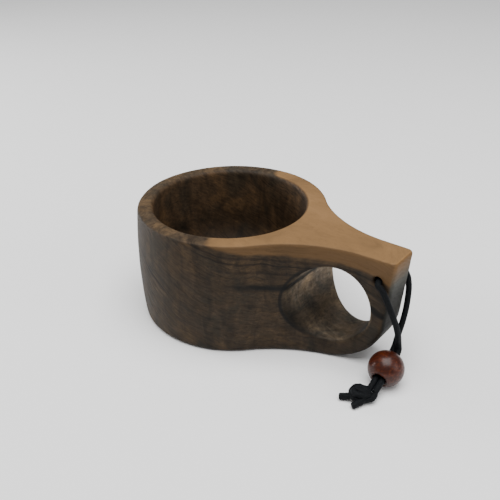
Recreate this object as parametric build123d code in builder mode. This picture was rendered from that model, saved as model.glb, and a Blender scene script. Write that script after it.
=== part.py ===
"""Kuksa: a carved wooden cup with a lanyard loop, a wooden bead and a knot.

Millimetres, +Z up, +X from the bowl towards the handle. The origin is on the
bowl's axis, in the plane of the flat base.
"""
from build123d import *

import os
from math import cos, radians, sin, sqrt, tan

os.makedirs("parts", exist_ok=True)

# ---- cup: driving dimensions --------------------------------------------
CUP_HEIGHT = 53.0
RIM_RADIUS = 43.0          # outside of the bowl at the rim
WALL_SWELL = 5.0           # the outside swells below the rim ...
WALL_TUCK = 5.4            # ... and tucks in again at the base
WALL_SECTIONS = 5          # plan outlines that the outside is lofted through

HANDLE_LENGTH = 86.8       # bowl axis to the end of the handle, at the top
HANDLE_HALF_WIDTH = 8.0    # at the end
HANDLE_TAPER = 2.1         # degrees, each side
NECK_RADIUS = 55.0         # hollow between the bowl and the handle, at the top ...
NECK_OPENING = 17.0        # ... and this much larger at the base
END_SLOPE = 5.7            # degrees, the end face leans in towards the base
TOE_RADIUS = 26.5          # lower corner of the handle

TOP_EDGE = 1.0             # roundings
LOWER_EDGE = 2.2

CAVITY_RADIUS = 35.0       # inside of the bowl at the rim
CAVITY_X = -1.5            # the inside sits off centre, away from the handle
CAVITY_DRAFT = 2.0         # degrees
CAVITY_FLOOR = 8.0         # thickness of the bottom
CAVITY_CORNER = 20.0
LIP_RADIUS = 1.8

FINGER_HOLE_RADIUS = 17.3
FINGER_HOLE_X = 59.9
FINGER_HOLE_Z = 26.2
FINGER_HOLE_EDGE = 1.5

LANYARD_HOLE_RADIUS = 2.0
LANYARD_X = 79.5
LANYARD_Z = 43.5
LANYARD_HOLE_EDGE = 0.4

RADIUS_MATCH = 0.1         # a round edge or wall is found by its radius to within this

CUT_MARGIN = 60.0          # cutting solids reach this far past the middle plane
END_STOCK = 1.0            # the lofted blank is longer by this before its end is cut

# ---- bead and cord: driving dimensions ----------------------------------
CORD_RADIUS = 1.25
STRAND_OFFSET = 1.28       # each strand's distance from the bead's axis
BEND_RADIUS = 2.5          # of the cord where it turns over the lanyard hole's edge
BEND_SHARE = 0.45          # part of a run that the arc at its end may use

BEAD_RADIUS = 7.5
BEAD_BORE_RADIUS = 2.7
BEAD_EDGE = 0.5
BEAD_CENTRE = Vector(89.0, -12.45, BEAD_RADIUS)
BORE_DIRECTION = Vector(0.06, -0.97, -0.22).normalized()
SIDE_DIRECTION = Vector(0, 0, 1).cross(BORE_DIRECTION).normalized()
BORE_LEAD = 10.0           # the strands are straight this far either side of the centre

KNOT_CENTRE = Vector(87.1, -27.4, 3.6)
KNOT_DIRECTION = Vector(0.8, 0.6, 0.0)
KNOT_HALF_LENGTH = 6.2
KNOT_RADIUS = 3.4


def wall_radius(height):
    """Outside radius of the bowl at a height above the base."""
    depth = (CUP_HEIGHT - height) / CUP_HEIGHT
    return RIM_RADIUS + WALL_SWELL * depth - WALL_TUCK * depth**2


def cup_outline(height):
    """Plan outline of the cup at a height: bowl arc, hollow necks, tapered handle."""
    radius = wall_radius(height)
    depth = (CUP_HEIGHT - height) / CUP_HEIGHT
    neck_radius = NECK_RADIUS + NECK_OPENING * depth**2
    taper = radians(HANDLE_TAPER)
    side_normal = Vector(sin(taper), cos(taper))
    side_along = Vector(cos(taper), -sin(taper))
    end_corner = Vector(HANDLE_LENGTH, HANDLE_HALF_WIDTH) + side_along * END_STOCK
    reach = side_normal.dot(end_corner) + neck_radius
    span = radius + neck_radius
    neck_centre = side_normal * reach + side_along * sqrt(span**2 - reach**2)
    bowl_tangent = neck_centre * (radius / span)
    side_tangent = neck_centre - side_normal * neck_radius
    neck_outward = (neck_centre - (bowl_tangent + side_tangent) * 0.5).normalized()
    neck_middle = neck_centre - neck_outward * neck_radius
    with BuildSketch(Plane.XY.offset(height)) as outline:
        with BuildLine():
            ThreePointArc(bowl_tangent, (-radius, 0), (bowl_tangent.X, -bowl_tangent.Y))
            ThreePointArc(bowl_tangent, neck_middle, side_tangent)
            Line(side_tangent, end_corner)
            Line(end_corner, (end_corner.X, -end_corner.Y))
            Line((side_tangent.X, -side_tangent.Y), (end_corner.X, -end_corner.Y))
            ThreePointArc(
                (bowl_tangent.X, -bowl_tangent.Y),
                (neck_middle.X, -neck_middle.Y),
                (side_tangent.X, -side_tangent.Y),
            )
        make_face()
    return outline.sketch


def side_profile():
    """Side view: flat base, a round toe and an end face that leans in."""
    slope = radians(END_SLOPE)
    end_foot_x = HANDLE_LENGTH - (CUP_HEIGHT - TOE_RADIUS) * tan(slope)
    toe_x = end_foot_x - TOE_RADIUS / cos(slope)
    toe_top = (toe_x + TOE_RADIUS * cos(slope), TOE_RADIUS - TOE_RADIUS * sin(slope))
    with BuildSketch(Plane.XZ) as profile:
        with BuildLine():
            Line((-CUT_MARGIN, 0), (toe_x, 0))
            RadiusArc((toe_x, 0), toe_top, -TOE_RADIUS)
            Line(toe_top, (HANDLE_LENGTH, CUP_HEIGHT))
            Line((HANDLE_LENGTH, CUP_HEIGHT), (-CUT_MARGIN, CUP_HEIGHT))
            Line((-CUT_MARGIN, CUP_HEIGHT), (-CUT_MARGIN, 0))
        make_face()
    return profile.sketch


def cavity_profile():
    """Half section of the bowl's inside: flat floor, round corner, drafted wall."""
    draft = radians(CAVITY_DRAFT)
    corner_z = CAVITY_FLOOR + CAVITY_CORNER
    foot_radius = CAVITY_RADIUS - (CUP_HEIGHT - corner_z) * tan(draft)
    corner_x = CAVITY_X + foot_radius - CAVITY_CORNER / cos(draft)
    wall_foot = (corner_x + CAVITY_CORNER * cos(draft), corner_z - CAVITY_CORNER * sin(draft))
    with BuildSketch(Plane.XZ) as profile:
        with BuildLine():
            Line((CAVITY_X, CAVITY_FLOOR), (corner_x, CAVITY_FLOOR))
            RadiusArc((corner_x, CAVITY_FLOOR), wall_foot, -CAVITY_CORNER)
            Line(wall_foot, (CAVITY_X + CAVITY_RADIUS, CUP_HEIGHT))
            Line((CAVITY_X + CAVITY_RADIUS, CUP_HEIGHT), (CAVITY_X, CUP_HEIGHT))
            Line((CAVITY_X, CUP_HEIGHT), (CAVITY_X, CAVITY_FLOOR))
        make_face()
    return profile.sketch


# ---- cup body: one carved piece -----------------------------------------
with BuildPart() as cup_body:
    loft([cup_outline(CUP_HEIGHT * step / (WALL_SECTIONS - 1)) for step in range(WALL_SECTIONS)])
    extrude(side_profile(), amount=CUT_MARGIN, both=True, mode=Mode.INTERSECT)

    base_face = cup_body.faces().sort_by(Axis.Z)[0]
    end_face = cup_body.faces().sort_by(Axis.X)[-1]
    toe_face = cup_body.faces().filter_by(GeomType.CYLINDER)[0]
    lower_edges = base_face.edges() + toe_face.edges() + end_face.edges()
    fillet(lower_edges.filter_by(Axis.Y, reverse=True), LOWER_EDGE)
    fillet(cup_body.faces().sort_by(Axis.Z)[-1].edges(), TOP_EDGE)

    revolve(cavity_profile(), axis=Axis((CAVITY_X, 0, 0), (0, 0, 1)), mode=Mode.SUBTRACT)
    lip = cup_body.edges().filter_by(GeomType.CIRCLE).filter_by(
        lambda edge: abs(edge.radius - CAVITY_RADIUS) < RADIUS_MATCH
    )
    fillet(lip.sort_by(Axis.Z)[-1], LIP_RADIUS)

    with BuildSketch(Plane.XZ):
        with Locations((FINGER_HOLE_X, FINGER_HOLE_Z)):
            Circle(FINGER_HOLE_RADIUS)
    extrude(amount=CUT_MARGIN, both=True, mode=Mode.SUBTRACT)
    hole_wall = cup_body.faces().filter_by(GeomType.CYLINDER).filter_by(
        lambda face: abs(face.radius - FINGER_HOLE_RADIUS) < RADIUS_MATCH
    )
    fillet(hole_wall.edges().filter_by(Axis.Y, reverse=True), FINGER_HOLE_EDGE)

    with BuildSketch(Plane.XZ):
        with Locations((LANYARD_X, LANYARD_Z)):
            Circle(LANYARD_HOLE_RADIUS)
    extrude(amount=CUT_MARGIN, both=True, mode=Mode.SUBTRACT)
    lanyard_wall = cup_body.faces().filter_by(GeomType.CYLINDER).filter_by(
        lambda face: abs(face.radius - LANYARD_HOLE_RADIUS) < RADIUS_MATCH
    )
    chamfer(lanyard_wall.edges().filter_by(Axis.Y, reverse=True), LANYARD_HOLE_EDGE)

cup_body.part.label = "cup_body"
export_step(cup_body.part, "parts/cup_body.step")


# ---- bead: a ball on the doubled cord -----------------------------------
with BuildPart(Plane(origin=BEAD_CENTRE, x_dir=SIDE_DIRECTION, z_dir=BORE_DIRECTION)) as bead:
    Sphere(BEAD_RADIUS)
    Cylinder(BEAD_BORE_RADIUS, 2 * BEAD_RADIUS, mode=Mode.SUBTRACT)
    fillet(bead.edges().filter_by(GeomType.CIRCLE), BEAD_EDGE)

bead.part.label = "bead"
export_step(bead.part, "parts/bead.step")


# ---- knot: the outer shape of both strands tied together -----------------
with BuildPart() as cord_knot:
    with BuildSketch(Plane(origin=KNOT_CENTRE, x_dir=KNOT_DIRECTION, z_dir=(0, 0, 1))):
        with BuildLine():
            EllipticalCenterArc((0, 0), KNOT_HALF_LENGTH, KNOT_RADIUS, start_angle=0, arc_size=180)
            Line((-KNOT_HALF_LENGTH, 0), (KNOT_HALF_LENGTH, 0))
        make_face()
    revolve(axis=Axis(KNOT_CENTRE, KNOT_DIRECTION))

cord_knot.part.label = "cord_knot"
export_step(cord_knot.part, "parts/cord_knot.step")


# ---- cord: one loop through the lanyard hole, both ends in the knot ------
BEAD_IN = BEAD_CENTRE - BORE_DIRECTION * BORE_LEAD
BEAD_OUT = BEAD_CENTRE + BORE_DIRECTION * BORE_LEAD
STRAND_SIDE = SIDE_DIRECTION * STRAND_OFFSET

FRONT_ROUTE = [
    Vector(LANYARD_X, 0, LANYARD_Z),
    Vector(LANYARD_X, -9.85, LANYARD_Z),
    Vector(82.8, -9.85, 41.6),
    Vector(85.6, -9.85, 36.4),
    Vector(88.2, -9.4, 31.0),
    Vector(89.5, -7.6, 25.2),
    Vector(89.6, -5.2, 19.4),
    Vector(88.7, -2.4, 14.4),
    BEAD_IN + STRAND_SIDE,
    BEAD_OUT + STRAND_SIDE,
    Vector(90.9, -24.9, 4.0),
]
BACK_ROUTE = [
    Vector(LANYARD_X, 0, LANYARD_Z),
    Vector(LANYARD_X, 9.85, LANYARD_Z),
    Vector(83.9, 9.85, 40.4),
    Vector(85.3, 9.8, 34.9),
    Vector(85.8, 8.8, 29.9),
    Vector(86.4, 6.8, 25.3),
    Vector(86.7, 4.2, 20.5),
    Vector(86.5, 1.2, 15.1),
    BEAD_IN - STRAND_SIDE,
    BEAD_OUT - STRAND_SIDE,
    Vector(88.2, -25.5, 4.0),
]
LEFT_TAIL_ROUTE = [Vector(83.4, -30.2, 2.6), Vector(81.3, -31.2, 1.7), Vector(79.0, -32.4, 1.4)]
FRONT_TAIL_ROUTE = [Vector(88.6, -28.8, 2.6), Vector(87.7, -31.5, 1.6), Vector(86.2, -34.4, 1.4)]


def bend_radii(route):
    """The largest arc that each corner's two runs allow."""
    radii = []
    for before, corner, after in zip(route, route[1:], route[2:]):
        shorter_run = min((corner - before).length, (after - corner).length)
        half_turn = radians((corner - before).get_angle(after - corner) / 2)
        radii.append(BEND_SHARE * shorter_run / tan(half_turn))
    return radii


def cord_path(name, route, radii):
    """Straight runs joined by tangent arcs, with its length and radii printed."""
    with BuildLine() as path:
        FilletPolyline(*route, radius=radii)
    length = path.wires()[0].length
    print(f"{name}: length {length:.1f}, bend radii {[round(radius, 1) for radius in radii]}")
    return path.line


def strand_radii(route):
    """A strand's arcs: tight over the lanyard hole's edge, else as large as fits."""
    return [BEND_RADIUS] + bend_radii(route)[1:]


cords = {
    "cord_front_strand": (FRONT_ROUTE, strand_radii(FRONT_ROUTE)),
    "cord_back_strand": (BACK_ROUTE, strand_radii(BACK_ROUTE)),
    "cord_left_tail": (LEFT_TAIL_ROUTE, bend_radii(LEFT_TAIL_ROUTE)),
    "cord_front_tail": (FRONT_TAIL_ROUTE, bend_radii(FRONT_TAIL_ROUTE)),
}
for name, (route, radii) in cords.items():
    path = cord_path(name, route, radii)
    with BuildPart() as cord:
        with BuildSketch(Plane(origin=route[0], z_dir=route[1] - route[0])):
            Circle(CORD_RADIUS)
        sweep(path=path)
        add(cord_knot.part, mode=Mode.SUBTRACT)
    cord.part.label = name
    export_step(cord.part, f"parts/{name}.step")
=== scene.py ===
"""Looks of the carved wooden cup: figured two-tone wood, a braided cord and a bead."""
import math

import bmesh
import bpy
from mathutils import Matrix, Vector


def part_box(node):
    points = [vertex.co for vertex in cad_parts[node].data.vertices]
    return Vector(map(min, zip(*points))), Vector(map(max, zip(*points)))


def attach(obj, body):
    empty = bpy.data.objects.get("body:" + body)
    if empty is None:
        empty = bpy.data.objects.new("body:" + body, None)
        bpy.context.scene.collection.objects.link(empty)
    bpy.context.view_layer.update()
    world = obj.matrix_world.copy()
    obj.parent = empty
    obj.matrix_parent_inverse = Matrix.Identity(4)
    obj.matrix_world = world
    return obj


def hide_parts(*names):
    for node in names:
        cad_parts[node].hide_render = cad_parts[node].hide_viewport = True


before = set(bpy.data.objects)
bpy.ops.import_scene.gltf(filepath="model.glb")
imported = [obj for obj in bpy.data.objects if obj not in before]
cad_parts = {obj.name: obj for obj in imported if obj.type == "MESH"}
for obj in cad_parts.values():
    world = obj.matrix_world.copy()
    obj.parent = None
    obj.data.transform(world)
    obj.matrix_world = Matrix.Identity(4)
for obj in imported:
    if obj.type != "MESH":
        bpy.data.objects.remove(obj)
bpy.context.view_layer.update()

MM = 0.001

# ---- camera ---------------------------------------------------------------
CAMERA_TARGET = Vector((4.5, 6.9, 26.0)) * MM
CAMERA_DISTANCE = 340.6 * MM
CAMERA_AZIMUTH = math.radians(37.76)
CAMERA_ELEVATION = math.radians(29.23)
CAMERA_ROLL = math.radians(-0.62)
CAMERA_LENS = 51.4

# ---- cord -----------------------------------------------------------------
CORD_DIAMETER = 2.5 * MM
FRONT_ROUTE = [
    (79.5, 0.0, 43.5), (79.5, -9.85, 43.5), (82.8, -9.85, 41.6), (85.6, -9.85, 36.4),
    (88.2, -9.4, 31.0), (89.5, -7.6, 25.2), (89.6, -5.2, 19.4), (88.7, -2.4, 14.4),
    (89.68, -2.64, 9.71), (90.88, -22.11, 5.29), (90.9, -24.9, 4.0),
]
BACK_ROUTE = [
    (79.5, 0.0, 43.5), (79.5, 9.85, 43.5), (83.9, 9.85, 40.4), (85.3, 9.8, 34.9),
    (85.8, 8.8, 29.9), (86.4, 6.8, 25.3), (86.7, 4.2, 20.5), (86.5, 1.2, 15.1),
    (87.12, -2.79, 9.71), (88.32, -22.26, 5.29), (88.2, -25.5, 4.0),
]
LEFT_TAIL_ROUTE = [(83.4, -30.2, 2.6), (81.3, -31.2, 1.7), (79.0, -32.4, 1.4)]
FRONT_TAIL_ROUTE = [(88.6, -28.8, 2.6), (87.7, -31.5, 1.6), (86.2, -34.4, 1.4)]

# The knot, from its centre: along it, across it and up. Each row is the middle of the
# two strands and half the way from the back strand to the front strand.
KNOT_CENTRE = Vector((87.1, -27.4, 3.6))
KNOT_ALONG = Vector((0.8, 0.6, 0.0))
KNOT_TURNS = [
    ((3.28, 0.29, 0.40), (1.26, -0.57, 0.00)),
    ((3.40, -1.20, -0.50), (0.85, -0.50, -0.40)),
    ((1.20, -2.00, -0.45), (0.10, -0.20, -1.00)),
    ((-1.80, -1.95, -0.30), (0.00, -0.20, -1.05)),
    ((-4.00, -0.80, -0.10), (-0.30, 0.00, -1.00)),
    ((-4.00, 1.30, 0.40), (-0.50, 0.60, -0.60)),
    ((-2.40, 1.70, 1.30), (0.20, 0.90, 0.40)),
    ((-0.90, 0.60, 2.00), (0.90, 0.20, 0.10)),
    ((0.60, -0.90, 1.60), (0.95, 0.20, -0.10)),
    ((2.10, -0.60, 0.20), (0.60, 0.40, -0.60)),
    ((1.80, 1.50, -0.60), (0.20, 0.90, 0.20)),
    ((0.90, 1.90, 1.00), (-0.90, 0.30, 0.20)),
    ((0.70, 0.50, 1.90), (-0.95, 0.00, 0.00)),
    ((-0.80, -0.30, 0.00), (-0.60, 0.20, 0.60)),
]
KNOT_ENDS = [(-4.64, -0.02, -1.00), (0.36, -2.02, -1.00)]
KNOT_STRAND = 1.32 * MM
KNOT_WAVE = 0.5 * MM
TAIL_RADIUS = 1.36 * MM
KNOT_WAVE_LENGTH = 1.6 * MM
TIP_ROUNDING = 0.8 * MM
TIP_SIZE = 0.35
BRAID_SIDES = 40
BRAID_CARRIERS = 8
BRAID_PITCH = 2.6 * MM
BRAID_RELIEF = 0.09 * MM
BRAID_CROWN = 1.4
RING_STEP = 0.16 * MM

# ---- cup ------------------------------------------------------------------
VOXEL = 0.6 * MM
EASE_PASSES = 5
HAND_WAVE = 0.25 * MM
HAND_WAVE_LENGTH = 22 * MM


def make_camera():
    """Three-quarter view from the handle side, a little above the rim."""
    azimuth, elevation, roll = CAMERA_AZIMUTH, CAMERA_ELEVATION, CAMERA_ROLL
    back = Vector((
        math.sin(azimuth) * math.cos(elevation),
        -math.cos(azimuth) * math.cos(elevation),
        math.sin(elevation),
    ))
    level = Vector((math.cos(azimuth), math.sin(azimuth), 0))
    rise = back.cross(level)
    right = level * math.cos(roll) + rise * math.sin(roll)
    up = rise * math.cos(roll) - level * math.sin(roll)
    data = bpy.data.cameras.new("camera")
    data.lens = CAMERA_LENS
    data.clip_start = 0.01
    camera = bpy.data.objects.new("camera", data)
    camera.matrix_world = Matrix.Translation(CAMERA_TARGET + back * CAMERA_DISTANCE) @ Matrix(
        (right, up, back)
    ).transposed().to_4x4()
    bpy.context.collection.objects.link(camera)
    bpy.context.scene.camera = camera


def link(name, mesh):
    """A new object in the scene with smooth shading."""
    piece = bpy.data.objects.new(name, mesh)
    bpy.context.collection.objects.link(piece)
    mesh.shade_smooth()
    return piece


# ---- node helpers -----------------------------------------------------------
class Shader:
    """Small builder for node materials: every call adds one node and returns its output."""

    def __init__(self, name):
        self.material = bpy.data.materials.new(name)
        self.material.use_nodes = True
        self.tree = self.material.node_tree
        self.surface = self.tree.nodes["Principled BSDF"]

    def feed(self, socket, value):
        """Links an output to a socket, or sets a plain value on it."""
        if isinstance(value, bpy.types.NodeSocket):
            self.tree.links.new(value, socket)
        else:
            socket.default_value = value

    def node(self, kind, output, inputs, **settings):
        made = self.tree.nodes.new(kind)
        for key, value in settings.items():
            setattr(made, key, value)
        for key, value in inputs.items():
            self.feed(made.inputs[key], value)
        return made.outputs[output]

    def position(self):
        """Place in the shared frame, in millimetres, on the piece as it is at rest."""
        place = self.node("ShaderNodeTexCoord", "Object", {})
        return self.node("ShaderNodeVectorMath", 0, {0: place, "Scale": 1 / MM}, operation="SCALE")

    def split(self, vector):
        made = self.tree.nodes.new("ShaderNodeSeparateXYZ")
        self.feed(made.inputs[0], vector)
        return made.outputs

    def join(self, x, y, z):
        return self.node("ShaderNodeCombineXYZ", 0, {0: x, 1: y, 2: z})

    def math(self, operation, *values):
        return self.node("ShaderNodeMath", 0, dict(enumerate(values)), operation=operation)

    def noise(self, vector, scale, detail=2.0, roughness=0.5, distortion=0.0):
        inputs = {
            "Vector": vector, "Scale": scale, "Detail": detail,
            "Roughness": roughness, "Distortion": distortion,
        }
        return self.node("ShaderNodeTexNoise", "Fac", inputs)

    def stretch(self, vector, factors):
        return self.node("ShaderNodeVectorMath", 0, {0: vector, 1: factors}, operation="MULTIPLY")

    def ramp(self, factor, stops):
        """Colour or grey against a factor; a stop is (position, grey) or (position, colour)."""
        made = self.tree.nodes.new("ShaderNodeValToRGB")
        made.color_ramp.interpolation = "EASE"
        elements = made.color_ramp.elements
        while len(elements) < len(stops):
            elements.new(0.5)
        for element, (place, tone) in zip(elements, stops):
            element.position = place
            element.color = (tone, tone, tone, 1) if isinstance(tone, float) else srgb(*tone)
        self.feed(made.inputs[0], factor)
        return made.outputs[0]

    def between(self, factor, first, second, blend="MIX"):
        made = self.tree.nodes.new("ShaderNodeMix")
        made.data_type = "RGBA"
        made.blend_type = blend
        self.feed(made.inputs["Factor"], factor)
        self.feed(made.inputs[6], first)
        self.feed(made.inputs[7], second)
        return made.outputs[2]

    def tint(self, colour, tone, share=None):
        """The colour multiplied by a tone, everywhere or over a share of the surface."""
        tinted = self.between(1.0, colour, tone, "MULTIPLY")
        return tinted if share is None else self.between(share, colour, tinted)

    def less(self, share):
        """One minus a share."""
        return self.math("SUBTRACT", 1.0, share)

    def swing(self, noise, width):
        """Noise as a length that swings about zero."""
        return self.math("MULTIPLY", self.math("SUBTRACT", noise, 0.5), width)

    def radius(self, first, second):
        """Distance from an axis, from the two offsets square to it."""
        squares = [self.math("MULTIPLY", offset, offset) for offset in (first, second)]
        return self.math("SQRT", self.math("ADD", *squares))

    def smoothstep(self, value, low, high):
        inputs = {"Value": value, "From Min": low, "From Max": high}
        return self.node("ShaderNodeMapRange", 0, inputs, interpolation_type="SMOOTHSTEP")

    def curve(self, value, low, high, points, top):
        """A smooth curve through points (value, result), over the range low to high."""
        inputs = {"Value": value, "From Min": low, "From Max": high}
        share = self.node("ShaderNodeMapRange", 0, inputs)
        made = self.tree.nodes.new("ShaderNodeFloatCurve")
        line = made.mapping.curves[0]
        while len(line.points) < len(points):
            line.points.new(0.5, 0.5)
        for point, (place, result) in zip(line.points, points):
            point.location = ((place - low) / (high - low), result / top)
        made.mapping.update()
        self.feed(made.inputs["Value"], share)
        return self.math("MULTIPLY", made.outputs[0], top)

    def bump(self, height, distance, normal=None):
        inputs = {"Height": height, "Distance": distance, "Strength": 1.0}
        if normal is not None:
            inputs["Normal"] = normal
        return self.node("ShaderNodeBump", 0, inputs)


def srgb(red, green, blue):
    """Linear colour from everyday 0-255 values; as a tone, above 255 brightens."""
    return tuple(
        (c / 12.92 if c <= 0.04045 else ((c + 0.055) / 1.055) ** 2.4)
        for c in (red / 255, green / 255, blue / 255)
    ) + (1.0,)


# ---- wood of the cup --------------------------------------------------------
# Lengths in this section are in mm.
# The grain runs along the handle, turned a little and counted from GRAIN_START.
GRAIN_SKEW = 0.247
GRAIN_START = 6.9

# The tree's growth layers rise towards the bowl's far side and droop at the handle's end.
# Each point is (distance along the grain, height of the sapwood's lower boundary).
GROWTH_LAYER = [
    (-60, 97), (-40, 77), (-20, 62.5), (0, 53), (16, 49.4), (37, 47.3),
    (50, 47.0), (63, 46.2), (70, 45.0), (77, 42.4), (90, 34),
]
GROWTH_LAYER_TOP = 100
GRAIN_SWAY = 9.0

# Dark lines in the heartwood: depth under the sapwood, half width, the distances along
# the grain where the line starts to show and where it shows fully, and its tone.
GROWTH_LINES = [
    (15.0, 1.6, 0, 24, (80, 88, 100)),
    (2.4, 0.5, -30, -6, (205, 200, 198)),
    (4.8, 0.4, -20, 2, (180, 176, 176)),
    (8.4, 0.6, -12, 16, (205, 202, 200)),
    (37.0, 0.6, -12, -26, (120, 112, 108)),
]
LINE_SWAY = 5.0

HEART_TONES = [(0.34, (53, 45, 34)), (0.50, (65, 52, 37)), (0.66, (79, 62, 42))]
SAP_TONES = [(0.30, (108, 82, 52)), (0.50, (120, 91, 58)), (0.72, (131, 100, 65))]
SAP_EDGE_SWAY = 1.6
WHITE = (255, 255, 255)

# The bowl's inside, from above its floor to the lip.
CUP_HEIGHT = 53
CAVITY_X = -1.5
CAVITY_START = (4.0, 6.0)
LIP_EDGE = 36.2
# The tone of the bowl's inside; painted shade darkens it further towards the floor.
BOWL_TONE = (262, 252, 246)

# The handle's end face leans in by END_LEAN for every millimetre below the cup's top.
END_TOP = 86.8
END_LEAN = 0.0998
END_HEART_TONES = [(0.30, (80, 81, 76)), (0.70, (100, 101, 92))]
END_SHADE_TONE = (128, 126, 124)
END_SAP_TONE = (300, 296, 290)
# Painted shade on the cup's sides, which the top does not get.
SIDE_SHADE_TONE = (190, 188, 184)

# The finger hole's wall, in painted light and shade: below are its tone from the bottom to the top of
# the hole (lit in the middle, shaded low and high), its tone from the near side's mouth to the middle
# of the handle (shaded at the mouth), and the bluish colour of the light.
FINGER_HOLE_X, FINGER_HOLE_Z = 59.9, 26.2
HOLE_WIDTH = 36
HOLE_WALL = (17.5, 18.8)
# Painted shadow along the hole's edge: its place, width and tone.
HOLE_EDGE = 18.3
HOLE_EDGE_LINE = (0.2, 0.9)
HOLE_EDGE_SHADOW_TONE = (120, 118, 118)
MOUTH_DEPTH = 24
HOLE_LIGHT_BY_HEIGHT = [
    (0.0, 0.27), (0.10, 0.27), (0.24, 0.42), (0.42, 1.0),
    (0.58, 1.6), (0.74, 1.0), (0.88, 0.55), (1.0, 0.4),
]
HOLE_MOUTH_SHADE = [(0.0, 0.10), (0.25, 0.20), (0.68, 1.0)]
HOLE_LIGHT_TONE = (530, 565, 620)


def cup_wood():
    """Dark mottled heartwood under a tan sapwood layer, with growth lines and pores."""
    wood = Shader("cup_wood_grain")
    place = wood.position()
    x, y, z = wood.split(place)[:3]

    skew = wood.math("MULTIPLY", y, GRAIN_SKEW)
    along = wood.math("ADD", skew, wood.math("SUBTRACT", x, GRAIN_START))
    layer = wood.curve(along, -60, 90, GROWTH_LAYER, GROWTH_LAYER_TOP)
    depth = wood.math("SUBTRACT", layer, z)
    sway = wood.noise(wood.stretch(place, (0.6, 0.9, 1.0)), 0.05, detail=3.0, roughness=0.55)
    swayed = wood.math("ADD", depth, wood.swing(sway, GRAIN_SWAY))

    grain = wood.join(wood.math("MULTIPLY", along, 0.06), wood.math("MULTIPLY", y, 0.16), swayed)
    fibre = wood.join(wood.math("MULTIPLY", along, 0.22), wood.math("MULTIPLY", y, 0.5), swayed)
    vessel = wood.join(wood.math("MULTIPLY", along, 0.30), y, swayed)
    upright = wood.stretch(place, (1.0, 1.0, 0.30))
    fine_lines = wood.noise(grain, 1.3, detail=4.0, roughness=0.65)
    broad_lines = wood.noise(grain, 0.24, detail=3.0)
    bars = wood.noise(upright, 0.20, detail=3.0, distortion=0.9)
    cloud = wood.noise(place, 0.07, detail=4.0, roughness=0.6, distortion=0.6)
    fleck = wood.noise(fibre, 0.85, detail=5.0, roughness=0.7, distortion=0.6)
    pores = wood.noise(vessel, 2.4)

    off_centre = wood.math("SUBTRACT", x, CAVITY_X)
    inside = wood.less(wood.smoothstep(wood.radius(off_centre, y), LIP_EDGE - 1.0, LIP_EDGE + 0.2))
    inside = wood.math("MULTIPLY", inside, wood.smoothstep(z, *CAVITY_START))
    outside = wood.less(inside)

    heart = wood.ramp(cloud, HEART_TONES)
    heart = wood.tint(heart, wood.ramp(broad_lines, [(0.30, 0.80), (0.50, 1.0), (0.70, 1.14)]))
    heart = wood.tint(heart, wood.ramp(bars, [(0.36, 0.74), (0.50, 1.0), (0.64, 1.22)]))
    heart = wood.tint(heart, wood.ramp(fleck, [(0.32, 0.58), (0.50, 1.0), (0.66, 1.38)]))
    lines = wood.ramp(fine_lines, [(0.34, 0.50), (0.45, 0.94), (0.70, 1.06)])
    near_sap = wood.less(wood.math("MULTIPLY", wood.smoothstep(depth, 5, 20), 0.5))
    heart = wood.tint(heart, lines, near_sap)
    line_depth = wood.math("ADD", depth, wood.swing(sway, LINE_SWAY))
    for middle, half_width, start, full, tone in GROWTH_LINES:
        distance = wood.math("ABSOLUTE", wood.math("SUBTRACT", line_depth, middle))
        line = wood.less(wood.smoothstep(distance, half_width * 0.2, half_width * 1.6))
        shown = wood.smoothstep(along, min(start, full), max(start, full))
        if full < start:
            shown = wood.less(shown)
        line = wood.math("MULTIPLY", wood.math("MULTIPLY", line, shown), outside)
        heart = wood.tint(heart, srgb(*tone), line)

    sap = wood.ramp(broad_lines, SAP_TONES)
    sap = wood.tint(sap, wood.ramp(fine_lines, [(0.30, 0.90), (0.50, 1.0), (0.70, 1.04)]))
    ragged = wood.noise(wood.stretch(place, (0.5, 0.5, 1.0)), 0.30, detail=3.0)
    boundary = wood.math("ADD", depth, wood.swing(ragged, SAP_EDGE_SWAY))
    colour = wood.between(wood.smoothstep(boundary, -0.7, 0.9), sap, heart)

    colour = end_face(wood, colour, (x, z), sap, fleck, ragged)
    colour = finger_hole_wall(wood, colour, (x, y, z))

    # Inside the bowl the wood is dark all the way up to the lip, and painted shade darkens it towards
    # the bowl's floor.
    bowl_colour = wood.tint(heart, srgb(*BOWL_TONE))
    height = wood.math("DIVIDE", z, CUP_HEIGHT)
    bowl_colour = wood.tint(bowl_colour, wood.ramp(height, [(0.20, 0.42), (0.80, 1.0)]))
    colour = wood.between(inside, colour, bowl_colour)

    # Painted shade: the sides are darker than the top, standing in for the light that falls from
    # above.
    facing_up = wood.split(wood.node("ShaderNodeTexCoord", "Normal", {}))[2]
    top_lit_share = wood.smoothstep(facing_up, 0.70, 0.99)
    colour = wood.tint(colour, wood.between(top_lit_share, srgb(*SIDE_SHADE_TONE), srgb(*WHITE)), outside)

    pore_mask = wood.ramp(pores, [(0.30, 0.66), (0.40, 1.0)])
    colour = wood.between(0.5, colour, pore_mask, "MULTIPLY")

    wood.feed(wood.surface.inputs["Base Color"], colour)
    wood.feed(wood.surface.inputs["Roughness"], wood.ramp(fine_lines, [(0.30, 0.72), (0.70, 0.58)]))
    wood.surface.inputs["Specular IOR Level"].default_value = 0.2
    relief = wood.bump(pore_mask, 0.04 * MM)
    wood.feed(wood.surface.inputs["Normal"], wood.bump(fine_lines, 0.05 * MM, relief))
    return wood.material


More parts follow.
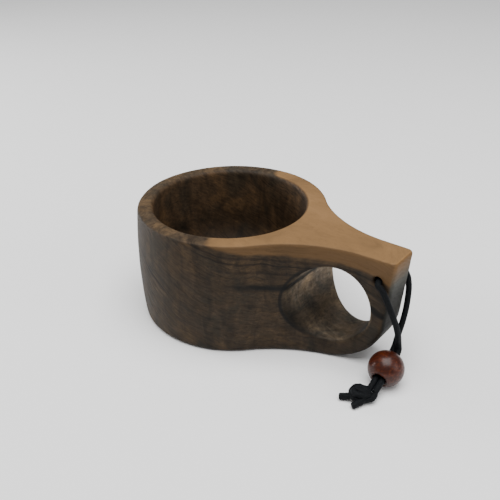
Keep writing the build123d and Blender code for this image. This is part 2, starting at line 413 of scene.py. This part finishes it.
def end_face(wood, colour, place, sap, fleck, ragged):
    """On the handle's end face the sapwood fades slowly into grey heartwood."""
    x, z = place
    below_top = wood.math("SUBTRACT", CUP_HEIGHT, z)
    face = wood.math("SUBTRACT", END_TOP, wood.math("MULTIPLY", below_top, END_LEAN))
    on_end = wood.smoothstep(wood.math("SUBTRACT", x, face), -1.3, -0.3)
    shade = wood.between(wood.smoothstep(z, 34, 47), srgb(*END_SHADE_TONE), srgb(*WHITE))
    heart = wood.tint(wood.ramp(fleck, END_HEART_TONES), shade)
    ragged_height = wood.math("ADD", z, wood.math("MULTIPLY", ragged, 3.0))
    fade = wood.smoothstep(ragged_height, 42.5, 53.5)
    return wood.between(on_end, colour, wood.between(fade, heart, wood.tint(sap, srgb(*END_SAP_TONE))))


def finger_hole_wall(wood, colour, place):
    """The finger hole's wall gets pale, bluish painted light, with painted shade low, high and at the
    mouth, and a painted shadow as a dark line along its edge on the bowl side.
    """
    x, y, z = place
    hole_x = wood.math("SUBTRACT", x, FINGER_HOLE_X)
    hole_z = wood.math("SUBTRACT", z, FINGER_HOLE_Z)
    from_hole = wood.radius(hole_x, hole_z)
    on_wall = wood.less(wood.smoothstep(from_hole, *HOLE_WALL))
    height = wood.math("ADD", wood.math("DIVIDE", hole_z, HOLE_WIDTH), 0.5)
    way_in = wood.math("DIVIDE", wood.math("ADD", y, MOUTH_DEPTH), MOUTH_DEPTH)
    hole_light = wood.tint(wood.ramp(height, HOLE_LIGHT_BY_HEIGHT), wood.ramp(way_in, HOLE_MOUTH_SHADE))
    # The wall's colour under its painted light and painted shade.
    worn = wood.tint(wood.tint(colour, hole_light), srgb(*HOLE_LIGHT_TONE))
    colour = wood.between(on_wall, colour, worn)

    # Painted shadow: a dark line along the hole's edge, on the bowl side.
    from_edge = wood.math("ABSOLUTE", wood.math("SUBTRACT", from_hole, HOLE_EDGE))
    edge_shadow = wood.less(wood.smoothstep(from_edge, *HOLE_EDGE_LINE))
    bowl_side = wood.less(wood.smoothstep(hole_x, -15, -5))
    return wood.tint(colour, srgb(*HOLE_EDGE_SHADOW_TONE), wood.math("MULTIPLY", edge_shadow, bowl_side))


def carve_cup(material):
    """The cup's solid as one hand-finished surface: edges eased, sides a little uneven."""
    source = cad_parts["cup_body"]
    rough = link("cup_rough", source.data.copy())
    remesh = rough.modifiers.new("remesh", "REMESH")
    remesh.mode = "VOXEL"
    remesh.voxel_size = VOXEL
    smooth = rough.modifiers.new("ease", "SMOOTH")
    smooth.factor = 0.5
    smooth.iterations = EASE_PASSES
    clouds = bpy.data.textures.new("hand_wave", "CLOUDS")
    clouds.noise_scale = HAND_WAVE_LENGTH
    wave = rough.modifiers.new("wave", "DISPLACE")
    wave.texture = clouds
    wave.texture_coords = "LOCAL"
    wave.strength = HAND_WAVE
    wave.mid_level = 0.5
    evaluated = rough.evaluated_get(bpy.context.evaluated_depsgraph_get())
    mesh = bpy.data.meshes.new_from_object(evaluated)
    bpy.data.objects.remove(rough)
    for vertex in mesh.vertices:
        vertex.co.z = max(vertex.co.z, 0.0)
    mesh.materials.clear()
    mesh.materials.append(material)
    cup = link("carved_cup", mesh)
    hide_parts("cup_body")
    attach(cup, "cup")
    return cup


# ---- bead -------------------------------------------------------------------
BEAD_RADIUS = 7.5 * MM
BORE_RADIUS = 2.7 * MM
BORE_LIP = 0.7 * MM
BORE_DIRECTION = Vector((0.06, -0.97, -0.22)).normalized()
BEAD_TURNS = 96
BEAD_STEPS = 40
BEAD_TONES = [(0.30, (40, 12, 4)), (0.50, (60, 21, 7)), (0.72, (92, 42, 17))]


def bead_wood():
    """Red-brown stained wood under a thin worn varnish."""
    wood = Shader("bead_stained_wood")
    place = wood.position()
    turned = wood.node(
        "ShaderNodeVectorRotate", 0, {"Vector": place, "Angle": 0.9, "Axis": (0.2, 1.0, 0.3)}
    )
    fibre = wood.stretch(turned, (0.12, 0.7, 1.0))
    grain = wood.noise(fibre, 1.3, detail=5.0, roughness=0.6, distortion=0.4)
    cloud = wood.noise(place, 0.16)
    colour = wood.ramp(grain, BEAD_TONES)
    colour = wood.tint(colour, wood.ramp(cloud, [(0.35, 0.68), (0.65, 1.05)]))
    wood.feed(wood.surface.inputs["Base Color"], colour)
    wood.feed(wood.surface.inputs["Roughness"], wood.ramp(grain, [(0.30, 0.50), (0.70, 0.36)]))
    wood.surface.inputs["Specular IOR Level"].default_value = 0.16
    wood.surface.inputs["Coat Weight"].default_value = 0.30
    wood.surface.inputs["Coat Roughness"].default_value = 0.24
    wood.feed(wood.surface.inputs["Normal"], wood.bump(grain, 0.05 * MM))
    return wood.material


def turn_bead(material):
    """A turned ball with a rounded bore, on the doubled cord."""
    low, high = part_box("bead")
    centre = (Vector(low) + Vector(high)) / 2
    lip_angle = math.asin((BORE_RADIUS + BORE_LIP) / BEAD_RADIUS)
    profile = []
    for step in range(BEAD_STEPS + 1):
        angle = lip_angle + (math.pi - 2 * lip_angle) * step / BEAD_STEPS
        profile.append((BEAD_RADIUS * math.sin(angle), BEAD_RADIUS * math.cos(angle)))
    mouth = profile[-1][1]
    for side in (1, -1):
        rounding = [
            (
                BORE_RADIUS + BORE_LIP * (1 - math.sin(math.radians(turn))),
                side * (mouth + BORE_LIP * (1 - math.cos(math.radians(turn)))),
            )
            for turn in (30, 60, 90)
        ]
        profile = profile + rounding if side == 1 else rounding[::-1] + profile
    shape = bmesh.new()
    rings = []
    for radius, height in profile:
        rings.append([
            shape.verts.new((
                radius * math.cos(2 * math.pi * k / BEAD_TURNS),
                radius * math.sin(2 * math.pi * k / BEAD_TURNS),
                height,
            ))
            for k in range(BEAD_TURNS)
        ])
    rings.append(rings[0])
    for ring, following in zip(rings, rings[1:]):
        for k in range(BEAD_TURNS):
            after = (k + 1) % BEAD_TURNS
            shape.faces.new((ring[k], ring[after], following[after], following[k]))
    bmesh.ops.recalc_face_normals(shape, faces=shape.faces)
    facing = BORE_DIRECTION.to_track_quat("Z", "X").to_matrix().to_4x4()
    bmesh.ops.transform(shape, matrix=Matrix.Translation(centre) @ facing, verts=shape.verts)
    mesh = bpy.data.meshes.new("turned_bead")
    shape.to_mesh(mesh)
    shape.free()
    mesh.materials.append(material)
    bead = link("turned_bead", mesh)
    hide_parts("bead")
    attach(bead, "bead_body")
    return bead


# ---- cord -------------------------------------------------------------------
def cord_braid():
    """Black braided cord with a faint cool sheen."""
    cloth = Shader("cord_black_braid")
    place = cloth.position()
    fibre = cloth.noise(place, 2.2, detail=3.0)
    colour = cloth.ramp(fibre, [(0.35, (3, 4, 6)), (0.65, (9, 12, 15))])
    cloth.feed(cloth.surface.inputs["Base Color"], colour)
    cloth.surface.inputs["Roughness"].default_value = 0.72
    cloth.surface.inputs["Specular IOR Level"].default_value = 0.15
    cloth.surface.inputs["Sheen Weight"].default_value = 0.04
    cloth.surface.inputs["Sheen Roughness"].default_value = 0.4
    cloth.surface.inputs["Sheen Tint"].default_value = srgb(150, 165, 190)
    cloth.feed(cloth.surface.inputs["Normal"], cloth.bump(fibre, 0.04 * MM))
    return cloth.material


def route_line(name, route):
    """Points along one smooth NURBS spline with the route as its control points."""
    data = bpy.data.curves.new(name, "CURVE")
    data.dimensions = "3D"
    data.resolution_u = 24
    spline = data.splines.new("NURBS")
    spline.points.add(len(route) - 1)
    for point, place in zip(spline.points, route):
        point.co = (*(Vector(place) * MM), 1)
    spline.order_u = 3
    spline.use_endpoint_u = True
    holder = bpy.data.objects.new(name, data)
    bpy.context.collection.objects.link(holder)
    mesh = bpy.data.meshes.new_from_object(holder)
    points = [vertex.co.copy() for vertex in mesh.vertices]
    bpy.data.objects.remove(holder)
    bpy.data.meshes.remove(mesh)
    return points


def evenly(points, step):
    """The same line with points a step apart."""
    total = sum((b - a).length for a, b in zip(points, points[1:]))
    count = max(2, round(total / step))
    made, walked, index = [points[0].copy()], 0.0, 0
    for k in range(1, count):
        target = total * k / count
        while walked + (points[index + 1] - points[index]).length < target:
            walked += (points[index + 1] - points[index]).length
            index += 1
        run = points[index + 1] - points[index]
        made.append(points[index] + run * ((target - walked) / run.length))
    made.append(points[-1].copy())
    return made


def braid_tube(shape, line, radius, melted_tip=False):
    """Adds a braided tube along a line: two families of yarns that cross over each other."""
    tangent = (line[1] - line[0]).normalized()
    side = tangent.orthogonal().normalized()
    total = sum((b - a).length for a, b in zip(line, line[1:]))
    walked = 0.0
    rings = []
    for k, point in enumerate(line):
        before, after = line[max(k - 1, 0)], line[min(k + 1, len(line) - 1)]
        tangent = (after - before).normalized()
        side = (side - tangent * side.dot(tangent)).normalized()
        across = tangent.cross(side)
        if k:
            walked += (point - line[k - 1]).length
        turn = 2 * math.pi * walked / BRAID_PITCH
        reach = radius
        if melted_tip:
            left_over = min(1.0, (total - walked) / TIP_ROUNDING)
            reach *= TIP_SIZE + (1 - TIP_SIZE) * math.sqrt(1 - (1 - left_over) ** 2)
        ring = []
        for s in range(BRAID_SIDES):
            angle = 2 * math.pi * s / BRAID_SIDES
            left = math.cos((angle * BRAID_CARRIERS + turn) / 2) ** 2
            right = math.cos((angle * BRAID_CARRIERS - turn) / 2) ** 2
            rise = BRAID_RELIEF * (max(left, right) * BRAID_CROWN - 1)
            outward = side * math.cos(angle) + across * math.sin(angle)
            ring.append(shape.verts.new(point + outward * (reach + rise)))
        rings.append(ring)
    for ring, following in zip(rings, rings[1:]):
        for s in range(BRAID_SIDES):
            after = (s + 1) % BRAID_SIDES
            shape.faces.new((ring[s], ring[after], following[after], following[s]))
    for ring, flip in ((rings[0], True), (rings[-1], False)):
        shape.faces.new(ring[::-1] if flip else ring)


def braid_piece(name, lines, radius, material, melted_tip=False):
    """One piece of braided cord that follows one or more lines."""
    shape = bmesh.new()
    for line in lines:
        braid_tube(shape, line, radius, melted_tip)
    bmesh.ops.recalc_face_normals(shape, faces=shape.faces)
    mesh = bpy.data.meshes.new(name)
    shape.to_mesh(mesh)
    shape.free()
    mesh.materials.append(material)
    piece = link(name, mesh)
    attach(piece, "lanyard")
    return piece


def rumple(piece):
    """Gives a tied or cut piece of cord the uneven surface of worn braid."""
    clouds = bpy.data.textures.new("rumple", "CLOUDS")
    clouds.noise_scale = KNOT_WAVE_LENGTH
    clouds.noise_depth = 3
    wave = piece.modifiers.new("rumple", "DISPLACE")
    wave.texture = clouds
    wave.texture_coords = "LOCAL"
    wave.strength = KNOT_WAVE
    wave.mid_level = 0.5


def make_strand(name, route, node, material):
    line = evenly(route_line(name, route), RING_STEP)
    strand = braid_piece(name, [line], CORD_DIAMETER / 2, material)
    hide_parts(node)
    return strand, line


def in_knot(along, across, up):
    """A place in the shared frame, in mm, from a place in the knot."""
    side = Vector((-KNOT_ALONG.y, KNOT_ALONG.x, 0))
    return KNOT_CENTRE + KNOT_ALONG * along + side * across + Vector((0, 0, up))


def tie_knot(material):
    """Both strands wound once around themselves, and the two cut ends."""
    lines = []
    for side, end in zip((1, -1), KNOT_ENDS):
        turns = [in_knot(*(Vector(middle) + Vector(half) * side)) for middle, half in KNOT_TURNS]
        lines.append(evenly(route_line("knot_turns", turns + [in_knot(*end)]), RING_STEP))
    knot = braid_piece("knot", lines, KNOT_STRAND, material)
    rumple(knot)
    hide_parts("cord_knot")
    made = [knot]
    for name, route, node in (
        ("left_tail", LEFT_TAIL_ROUTE, "cord_left_tail"),
        ("front_tail", FRONT_TAIL_ROUTE, "cord_front_tail"),
    ):
        line = evenly(route_line(name, route), RING_STEP)
        tail = braid_piece(name, [line], TAIL_RADIUS, material, melted_tip=True)
        rumple(tail)
        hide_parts(node)
        made.append(tail)
    return made


# ---- room -------------------------------------------------------------------
FLOOR_HALF = 3.0
FLOOR_GREY = (0.93, 0.93, 0.93, 1)
SURROUNDINGS = 0.30

# Name, place and aim in metres, width in metres, power in watts.
LAMPS = [
    ("overhead", (0.13, -0.13, 1.10), (0.03, 0.0, 0.02), 1.0, 21.0),
    ("left_side", (-0.75, -0.20, 0.17), (0.0, 0.0, 0.03), 0.3, 4.5),
    ("right_side", (0.65, 0.10, 0.30), (0.06, 0.0, 0.02), 0.4, 1.0),
]


def make_room():
    """Pale floor, a broad lamp overhead, two weak lamps at the sides, pale surroundings."""
    size = FLOOR_HALF
    mesh = bpy.data.meshes.new("floor")
    corners = [(-size, -size, 0), (size, -size, 0), (size, size, 0), (-size, size, 0)]
    mesh.from_pydata(corners, [], [(0, 1, 2, 3)])
    floor = bpy.data.objects.new("floor", mesh)
    bpy.context.collection.objects.link(floor)
    paper = Shader("floor_paper")
    paper.surface.inputs["Base Color"].default_value = FLOOR_GREY
    paper.surface.inputs["Roughness"].default_value = 0.9
    mesh.materials.append(paper.material)

    world = bpy.data.worlds.new("pale_room")
    world.use_nodes = True
    world.node_tree.nodes["Background"].inputs["Color"].default_value = (1, 1, 1, 1)
    world.node_tree.nodes["Background"].inputs["Strength"].default_value = SURROUNDINGS
    bpy.context.scene.world = world

    for lamp in LAMPS:
        soft_light(*lamp)


def soft_light(name, place, aim, size, power):
    data = bpy.data.lights.new(name, "AREA")
    data.shape = "SQUARE"
    data.size = size
    data.energy = power
    lamp = bpy.data.objects.new(name, data)
    lamp.location = place
    lamp.rotation_euler = (Vector(aim) - Vector(place)).to_track_quat("-Z", "Y").to_euler()
    bpy.context.collection.objects.link(lamp)


make_camera()
cord_material = cord_braid()
front_strand, front_line = make_strand(
    "front_strand", FRONT_ROUTE, "cord_front_strand", cord_material
)
back_strand, back_line = make_strand(
    "back_strand", BACK_ROUTE, "cord_back_strand", cord_material
)
make_room()
carve_cup(cup_wood())
bead = turn_bead(bead_wood())
knot_pieces = tie_knot(cord_material) + [bead]
